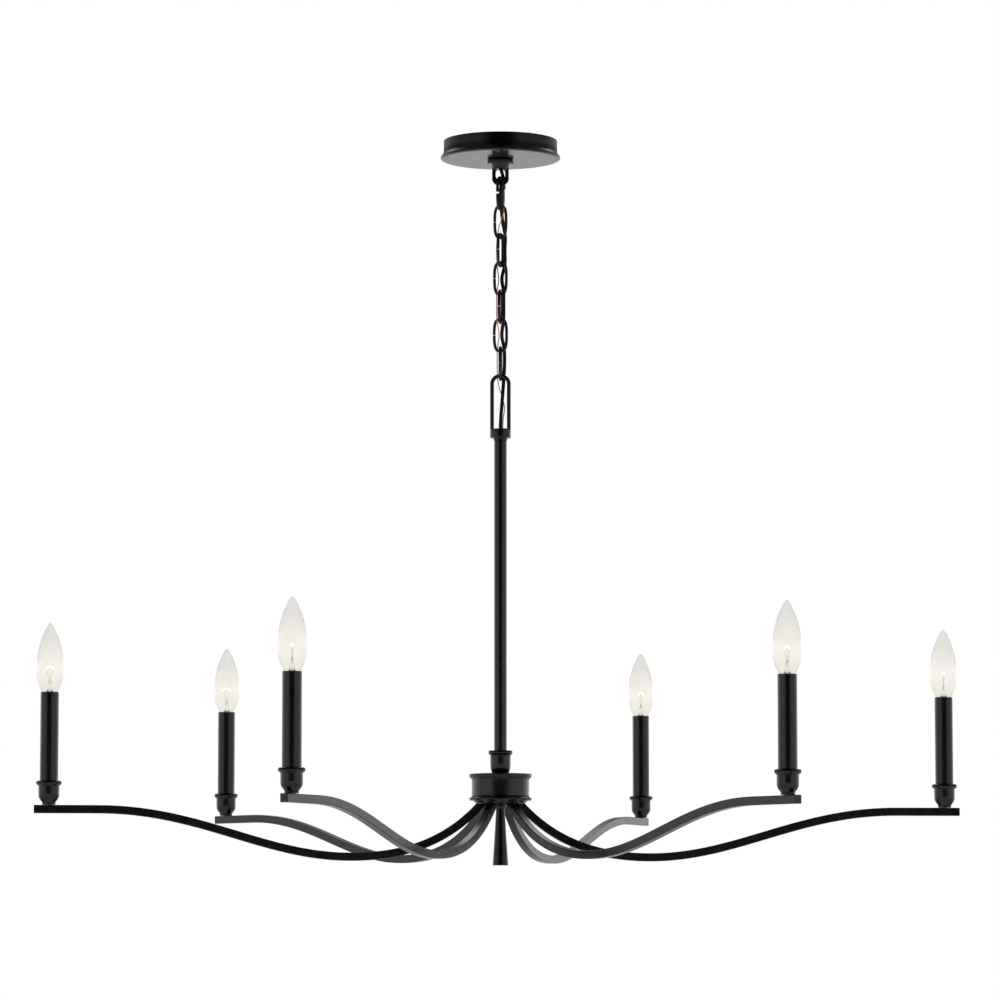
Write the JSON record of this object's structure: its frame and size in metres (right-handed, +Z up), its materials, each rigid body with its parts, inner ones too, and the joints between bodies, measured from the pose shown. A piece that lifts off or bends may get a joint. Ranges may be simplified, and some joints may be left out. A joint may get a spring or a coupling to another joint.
{
  "type": "multi arm chandelier",
  "caption": "Candle-style chandelier with square S-curved arms on a drum hub, rod stem, link chain and round canopy",
  "frame": {"origin": "centre of the ceiling plane, level with the canopy's rim and the crossbar's top", "axes": "+Z up into the ceiling, +X to the right as seen from the front and along the longest extent, +Y away from the viewer"},
  "size_m": [1.0664, 0.9931, 0.8452],
  "materials": {
    "satin_black": "satin powder coat",
    "candle_sleeve_black": "satin painted tube",
    "zinc_steel": "zinc plated",
    "socket_phenolic": "moulded phenolic",
    "lamp_base": "plated screw shell",
    "clear_glass": "clear",
    "cord_black": "extruded PVC",
    "bare_copper": "bare drawn copper"
  },
  "bodies": {
    "ceiling": {"crossbar": "zinc_steel", "crossbar_nut": "zinc_steel", "ground_screw": "zinc_steel", "canopy_nipple": "zinc_steel", "collar_loop": "satin_black", "supply_cord": "cord_black", "ground_wire": "bare_copper"},
    "canopy": {"canopy": "satin_black"},
    "ring_nut": {"ring_nut": "satin_black"},
    "link_1": {"chain_link_1": "satin_black"},
    "link_2": {"chain_link_2": "satin_black"},
    "link_3": {"chain_link_3": "satin_black"},
    "link_4": {"chain_link_4": "satin_black"},
    "link_5": {"chain_link_5": "satin_black"},
    "link_6": {"chain_link_6": "satin_black"},
    "link_7": {"chain_link_7": "satin_black"},
    "chandelier": {"stem_loop": "satin_black", "stem": "satin_black", "stem_coupling": "satin_black", "hub_rod": "zinc_steel", "hub_shell": "satin_black", "hub_plate": "satin_black", "hub_nut": "zinc_steel", "finial": "satin_black", "arm_1": "satin_black", "arm_2": "satin_black", "arm_3": "satin_black", "arm_4": "satin_black", "arm_5": "satin_black", "arm_6": "satin_black", "candle_cup_1": "satin_black", "candle_cup_2": "satin_black", "candle_cup_3": "satin_black", "candle_cup_4": "satin_black", "candle_cup_5": "satin_black", "candle_cup_6": "satin_black", "candle_sleeve_1": "candle_sleeve_black", "candle_sleeve_2": "candle_sleeve_black", "candle_sleeve_3": "candle_sleeve_black", "candle_sleeve_4": "candle_sleeve_black", "candle_sleeve_5": "candle_sleeve_black", "candle_sleeve_6": "candle_sleeve_black", "socket_1": "socket_phenolic", "socket_2": "socket_phenolic", "socket_3": "socket_phenolic", "socket_4": "socket_phenolic", "socket_5": "socket_phenolic", "socket_6": "socket_phenolic"},
    "bulb_1": {"bulb_base_1": "lamp_base", "bulb_glass_1": "clear_glass"},
    "bulb_2": {"bulb_base_2": "lamp_base", "bulb_glass_2": "clear_glass"},
    "bulb_3": {"bulb_base_3": "lamp_base", "bulb_glass_3": "clear_glass"},
    "bulb_4": {"bulb_base_4": "lamp_base", "bulb_glass_4": "clear_glass"},
    "bulb_5": {"bulb_base_5": "lamp_base", "bulb_glass_5": "clear_glass"},
    "bulb_6": {"bulb_base_6": "lamp_base", "bulb_glass_6": "clear_glass"}
  },
  "joints": [
    {"name": "canopy_drop", "type": "slide", "parent": "ceiling", "child": "canopy", "axis": [0, 0, -1], "range_m": [0, 0.025]},
    {"name": "ring_nut_turn", "type": "hinge", "parent": "canopy", "child": "ring_nut", "pos_m": [0, 0, -0.0247], "axis": [0, 0, 1], "continuous": true},
    {"name": "link_1_swing", "type": "hinge", "parent": "ceiling", "child": "link_1", "pos_m": [0, 0, -0.0469], "axis": [-0.8829, 0.4695, 0], "range_deg": [-8, 8], "deforming": ["supply_cord", "ground_wire"]},
    {"name": "link_2_swing", "type": "hinge", "parent": "link_1", "child": "link_2", "pos_m": [0, 0, -0.08055], "axis": [0.4226, 0.9063, 0], "range_deg": [-8, 8]},
    {"name": "link_3_swing", "type": "hinge", "parent": "link_2", "child": "link_3", "pos_m": [0, 0, -0.11395], "axis": [-0.9272, 0.3746, 0], "range_deg": [-8, 8]},
    {"name": "link_4_swing", "type": "hinge", "parent": "link_3", "child": "link_4", "pos_m": [0, 0, -0.14735], "axis": [0.309, 0.9511, 0], "range_deg": [-8, 8]},
    {"name": "link_5_swing", "type": "hinge", "parent": "link_4", "child": "link_5", "pos_m": [0, 0, -0.18075], "axis": [-0.9703, 0.2419, 0], "range_deg": [-8, 8]},
    {"name": "link_6_swing", "type": "hinge", "parent": "link_5", "child": "link_6", "pos_m": [0, 0, -0.21415], "axis": [0.1564, 0.9877, 0], "range_deg": [-8, 8]},
    {"name": "link_7_swing", "type": "hinge", "parent": "link_6", "child": "link_7", "pos_m": [0, 0, -0.24755], "axis": [-0.9962, 0.0872, 0], "range_deg": [-8, 8]},
    {"name": "stem_loop_swing", "type": "hinge", "parent": "link_7", "child": "chandelier", "pos_m": [0, 0, -0.28095], "axis": [0, 1, 0], "range_deg": [-8, 8]},
    {"name": "bulb_1_lift", "type": "slide", "parent": "chandelier", "child": "bulb_1", "axis": [0, 0, 1], "range_m": [0, 0.045]},
    {"name": "bulb_2_lift", "type": "slide", "parent": "chandelier", "child": "bulb_2", "axis": [0, 0, 1], "range_m": [0, 0.045]},
    {"name": "bulb_3_lift", "type": "slide", "parent": "chandelier", "child": "bulb_3", "axis": [0, 0, 1], "range_m": [0, 0.045]},
    {"name": "bulb_4_lift", "type": "slide", "parent": "chandelier", "child": "bulb_4", "axis": [0, 0, 1], "range_m": [0, 0.045]},
    {"name": "bulb_5_lift", "type": "slide", "parent": "chandelier", "child": "bulb_5", "axis": [0, 0, 1], "range_m": [0, 0.045]},
    {"name": "bulb_6_lift", "type": "slide", "parent": "chandelier", "child": "bulb_6", "axis": [0, 0, 1], "range_m": [0, 0.045]}
  ]
}
